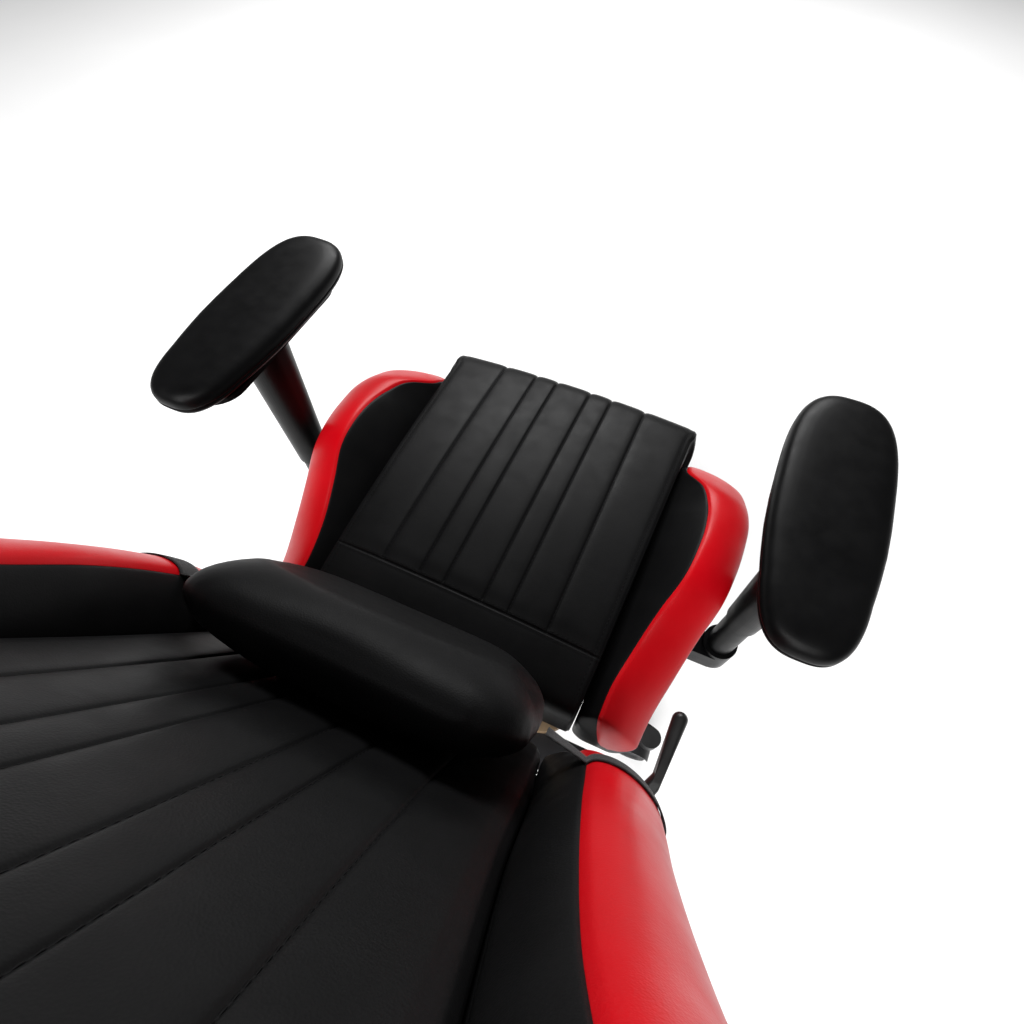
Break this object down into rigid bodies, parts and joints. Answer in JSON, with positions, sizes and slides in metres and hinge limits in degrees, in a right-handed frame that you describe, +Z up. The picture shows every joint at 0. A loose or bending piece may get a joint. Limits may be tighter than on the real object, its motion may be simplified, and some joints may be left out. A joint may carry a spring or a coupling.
{
  "type": "swivel chair",
  "caption": "Racing-style swivel chair: bolstered leather seat, reclining backrest with lumbar pillow, height-adjustable armrests, tilt mechanism, gas lift and caster base.",
  "frame": {"origin": "on the floor, under the axis of the gas lift column, with the chair standing on its casters", "axes": "+Z up; -Y to the front of the chair, the way the sitter faces; +X to the sitter's left"},
  "size_m": [0.7, 0.8893, 1.2292],
  "materials": {
    "base_plastic": "satin",
    "caster_plastic": "satin",
    "caster_tread": "matt",
    "zinc_steel": "satin",
    "lift_paint": "semi-gloss",
    "lift_chrome": "polished",
    "cover_plastic": "satin",
    "frame_paint": "powder coat",
    "board_wood": "bare plywood",
    "black_leather": "satin grained synthetic leather",
    "red_leather": "satin grained synthetic leather",
    "arm_plastic": "satin",
    "button_plastic": "matt",
    "pad_rubber": "soft satin skin",
    "strap_fabric": "woven elastic"
  },
  "bodies": {
    "base": {"base_star": "base_plastic", "caster_stems": "zinc_steel", "column_tube": "lift_paint", "cover_lower": "cover_plastic"},
    "caster_1": {"caster_hood_1": "caster_plastic"},
    "wheels_1": {"caster_wheels_1": "caster_tread"},
    "caster_2": {"caster_hood_2": "caster_plastic"},
    "wheels_2": {"caster_wheels_2": "caster_tread"},
    "caster_3": {"caster_hood_3": "caster_plastic"},
    "wheels_3": {"caster_wheels_3": "caster_tread"},
    "caster_4": {"caster_hood_4": "caster_plastic"},
    "wheels_4": {"caster_wheels_4": "caster_tread"},
    "caster_5": {"caster_hood_5": "caster_plastic"},
    "wheels_5": {"caster_wheels_5": "caster_tread"},
    "rod": {"piston_rod": "lift_chrome"},
    "cover": {"cover_mid": "cover_plastic"},
    "lift": {"column_cylinder": "lift_chrome", "cover_upper": "cover_plastic", "mech_housing": "frame_paint", "tilt_pin": "zinc_steel", "tension_spring": "zinc_steel"},
    "bolt": {"tension_bolt": "zinc_steel"},
    "knob": {"tension_knob": "cover_plastic"},
    "lever": {"lever_rod": "zinc_steel", "lever_grip": "cover_plastic"},
    "seat": {"seat_plate": "frame_paint", "seat_rails": "frame_paint", "seat_board": "board_wood", "seat_bolts": "zinc_steel", "seat_cushion": "black_leather", "seat_bolster_left": "red_leather", "seat_bolster_right": "red_leather", "arm_elbow_left": "arm_plastic", "arm_elbow_right": "arm_plastic", "arm_posts": "arm_plastic", "recliner_brackets": "frame_paint", "hinge_covers": "cover_plastic"},
    "arm_left": {"arm_sleeve_left": "arm_plastic"},
    "button_left": {"arm_button_left": "button_plastic"},
    "pad_left": {"pad_plate_left": "arm_plastic", "arm_pad_left": "pad_rubber"},
    "arm_right": {"arm_sleeve_right": "arm_plastic"},
    "button_right": {"arm_button_right": "button_plastic"},
    "pad_right": {"pad_plate_right": "arm_plastic", "arm_pad_right": "pad_rubber"},
    "recline": {"recline_rod": "zinc_steel", "recline_lever": "cover_plastic"},
    "back": {"back_frame": "frame_paint", "back_cushion": "black_leather", "back_bolster_left": "red_leather", "back_bolster_right": "red_leather", "back_panel": "black_leather", "lumbar_pillow": "black_leather", "pillow_strap": "strap_fabric"}
  },
  "joints": [
    {"name": "caster_swivel_1", "type": "hinge", "parent": "base", "child": "caster_1", "pos_m": [0, 0.31, 0.07], "axis": [0, 0, 1], "continuous": true},
    {"name": "wheel_roll_1", "type": "hinge", "parent": "caster_1", "child": "wheels_1", "pos_m": [0.00616, 0.29309, 0.03], "axis": [0.9397, 0.342, 0], "continuous": true},
    {"name": "caster_swivel_2", "type": "hinge", "parent": "base", "child": "caster_2", "pos_m": [-0.29483, 0.0958, 0.07], "axis": [0, 0, 1], "continuous": true},
    {"name": "wheel_roll_2", "type": "hinge", "parent": "caster_2", "child": "wheels_2", "pos_m": [-0.27684, 0.09642, 0.03], "axis": [-0.0349, 0.9994, 0], "continuous": true},
    {"name": "caster_swivel_3", "type": "hinge", "parent": "base", "child": "caster_3", "pos_m": [-0.18221, -0.25079, 0.07], "axis": [0, 0, 1], "continuous": true},
    {"name": "wheel_roll_3", "type": "hinge", "parent": "caster_3", "child": "wheels_3", "pos_m": [-0.17725, -0.23349, 0.03], "axis": [-0.9613, 0.2756, 0], "continuous": true},
    {"name": "caster_swivel_4", "type": "hinge", "parent": "base", "child": "caster_4", "pos_m": [0.18221, -0.25079, 0.07], "axis": [0, 0, 1], "continuous": true},
    {"name": "wheel_roll_4", "type": "hinge", "parent": "caster_4", "child": "wheels_4", "pos_m": [0.16729, -0.24073, 0.03], "axis": [-0.5592, -0.829, 0], "continuous": true},
    {"name": "caster_swivel_5", "type": "hinge", "parent": "base", "child": "caster_5", "pos_m": [0.29483, 0.0958, 0.07], "axis": [0, 0, 1], "continuous": true},
    {"name": "wheel_roll_5", "type": "hinge", "parent": "caster_5", "child": "wheels_5", "pos_m": [0.28064, 0.08471, 0.03], "axis": [0.6157, -0.788, 0], "continuous": true},
    {"name": "seat_swivel", "type": "hinge", "parent": "base", "child": "rod", "pos_m": [0, 0, 0.1], "axis": [0, 0, 1], "continuous": true},
    {"name": "gas_lift", "type": "slide", "parent": "rod", "child": "lift", "axis": [0, 0, 1], "range_m": [0, 0.08]},
    {"name": "cover_slide", "type": "slide", "parent": "rod", "child": "cover", "axis": [0, 0, 1], "range_m": [0, 0.04]},
    {"name": "seat_tilt", "type": "hinge", "parent": "lift", "child": "seat", "pos_m": [0, -0.085, 0.334], "axis": [-1, 0, 0], "range_deg": [0, 12], "stiffness_Nm_per_rad": 220, "springref_deg": -20.05, "deforming": ["tension_spring"]},
    {"name": "tension_slide", "type": "slide", "parent": "lift", "child": "bolt", "axis": [0, 0, 1], "range_m": [0, 0.0095]},
    {"name": "tension_turn", "type": "hinge", "parent": "bolt", "child": "knob", "pos_m": [0, -0.116, 0.245], "axis": [0, 0, 1], "range_deg": [-720, 720]},
    {"name": "height_lever", "type": "hinge", "parent": "lift", "child": "lever", "pos_m": [-0.06, -0.044, 0.326], "axis": [0, 1, 0], "range_deg": [0, 4], "stiffness_Nm_per_rad": 6, "springref_deg": -5.73},
    {"name": "recline_lever", "type": "hinge", "parent": "seat", "child": "recline", "pos_m": [0, 0.265, 0.445], "axis": [-1, 0, 0], "range_deg": [0, 25], "stiffness_Nm_per_rad": 3, "springref_deg": -14.32},
    {"name": "back_recline", "type": "hinge", "parent": "seat", "child": "back", "pos_m": [0, 0.265, 0.445], "axis": [-1, 0, 0], "range_deg": [-17, 53]},
    {"name": "arm_height_left", "type": "slide", "parent": "seat", "child": "arm_left", "axis": [0, 0, 1], "range_m": [0, 0.07]},
    {"name": "arm_button_left", "type": "slide", "parent": "arm_left", "child": "button_left", "axis": [-1, 0, 0], "range_m": [0, 0.0025], "stiffness_N_per_m": 600, "springref_m": -0.002},
    {"name": "pad_turn_left", "type": "hinge", "parent": "arm_left", "child": "pad_left", "pos_m": [0.313, -0.008, 0.643], "axis": [0, 0, 1], "range_deg": [-20, 20]},
    {"name": "arm_height_right", "type": "slide", "parent": "seat", "child": "arm_right", "axis": [0, 0, 1], "range_m": [0, 0.07]},
    {"name": "arm_button_right", "type": "slide", "parent": "arm_right", "child": "button_right", "axis": [1, 0, 0], "range_m": [0, 0.0025], "stiffness_N_per_m": 600, "springref_m": -0.002},
    {"name": "pad_turn_right", "type": "hinge", "parent": "arm_right", "child": "pad_right", "pos_m": [-0.313, -0.008, 0.643], "axis": [0, 0, 1], "range_deg": [-20, 20]}
  ],
  "couplings": [
    {"joint": "cover_slide", "follows": "gas_lift", "ratio": 0.5},
    {"joint": "tension_slide", "follows": "seat_tilt", "m_per_rad": 0.044}
  ]
}
